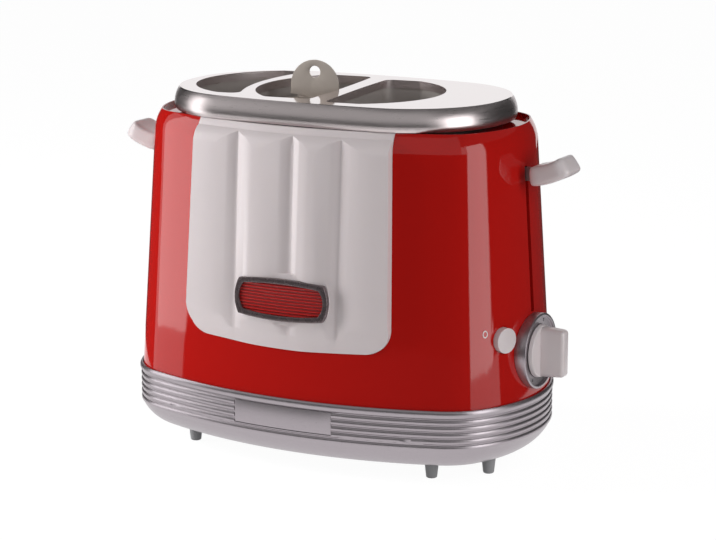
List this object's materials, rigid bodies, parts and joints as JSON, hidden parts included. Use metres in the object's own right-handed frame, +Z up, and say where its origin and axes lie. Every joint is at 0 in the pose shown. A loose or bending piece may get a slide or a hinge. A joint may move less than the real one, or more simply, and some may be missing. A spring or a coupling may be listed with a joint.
{
  "type": "hot dog toaster",
  "caption": "Retro hot dog toaster: red shell with fluted front panel, ribbed silver base, steel top with bun slots, lift-out cage, levers, dial and stop button.",
  "frame": {"origin": "on the table under the middle of the base", "axes": "+X towards the dial and stop button, -Y out of the fluted front panel, +Z up"},
  "size_m": [0.3136, 0.1702, 0.2415],
  "materials": {
    "silver_paint": "satin silver paint",
    "grey_plastic": "matt",
    "foot_rubber": "matt grey",
    "zinc_sheet": "plain zinc-plated sheet",
    "screw_steel": "plain",
    "red_paint": "gloss red enamel",
    "cream_plastic": "gloss off-white",
    "dark_chrome": "dark chrome",
    "red_insert": "gloss red",
    "brushed_cover": "brushed",
    "dark_plastic": "matt",
    "bright_sheet": "bright sheet",
    "mica_board": "mica sheet",
    "heating_wire": "oxidised",
    "circuit_board": "printed board",
    "cage_steel": "bright plated",
    "spring_steel": "plain"
  },
  "bodies": {
    "base": {"base_skirt": "silver_paint", "base_plate": "grey_plastic", "feet": "foot_rubber", "chassis_posts": "zinc_sheet", "base_screws": "screw_steel", "body_shell": "red_paint", "front_panel": "cream_plastic", "badge_frame": "dark_chrome", "badge_insert": "red_insert", "name_plate": "silver_paint", "top_cover": "brushed_cover", "cover_seat": "dark_plastic", "left_bun_chute": "bright_sheet", "cage_chute": "bright_sheet", "right_bun_chute": "bright_sheet", "heater_boards": "mica_board", "heater_wires": "heating_wire", "chassis_floor": "zinc_sheet", "frame_left": "zinc_sheet", "frame_right": "zinc_sheet", "guide_rods": "screw_steel", "dial_ring": "silver_paint", "timer_body": "dark_plastic", "button_housing": "dark_plastic", "latch_magnet": "zinc_sheet", "control_board": "circuit_board", "terminal_block": "cream_plastic", "tray_rails": "zinc_sheet", "cord_gland": "dark_plastic"},
    "carriage": {"carriage_bar": "zinc_sheet", "left_arm": "zinc_sheet", "right_arm": "zinc_sheet", "guide_bushes": "dark_plastic", "left_bun_rest": "bright_sheet", "cage_rest": "bright_sheet", "right_bun_rest": "bright_sheet", "left_lever": "cream_plastic", "right_lever": "cream_plastic", "lift_springs": "spring_steel"},
    "cage": {"sausage_cage": "cage_steel", "cage_tab": "cage_steel"},
    "knob": {"control_knob": "cream_plastic"},
    "button": {"stop_button": "cream_plastic"},
    "tray": {"crumb_tray": "bright_sheet"}
  },
  "joints": [
    {"name": "carriage_slide", "type": "slide", "parent": "base", "child": "carriage", "axis": [0, 0, 1], "range_m": [-0.075, 0], "stiffness_N_per_m": 60, "springref_m": 0.09, "deforming": ["lift_springs"]},
    {"name": "cage_lift", "type": "slide", "parent": "carriage", "child": "cage", "axis": [0, 0, 1], "range_m": [0, 0.16]},
    {"name": "dial_turn", "type": "hinge", "parent": "base", "child": "knob", "pos_m": [0.14, 0, 0.0753], "axis": [1, 0, 0], "range_deg": [-135, 135]},
    {"name": "stop_push", "type": "slide", "parent": "base", "child": "button", "axis": [-0.9426, 0.3338, 0], "range_m": [0, 0.002], "stiffness_N_per_m": 300},
    {"name": "tray_slide", "type": "slide", "parent": "base", "child": "tray", "axis": [0, 1, 0], "range_m": [0, 0.15]}
  ]
}
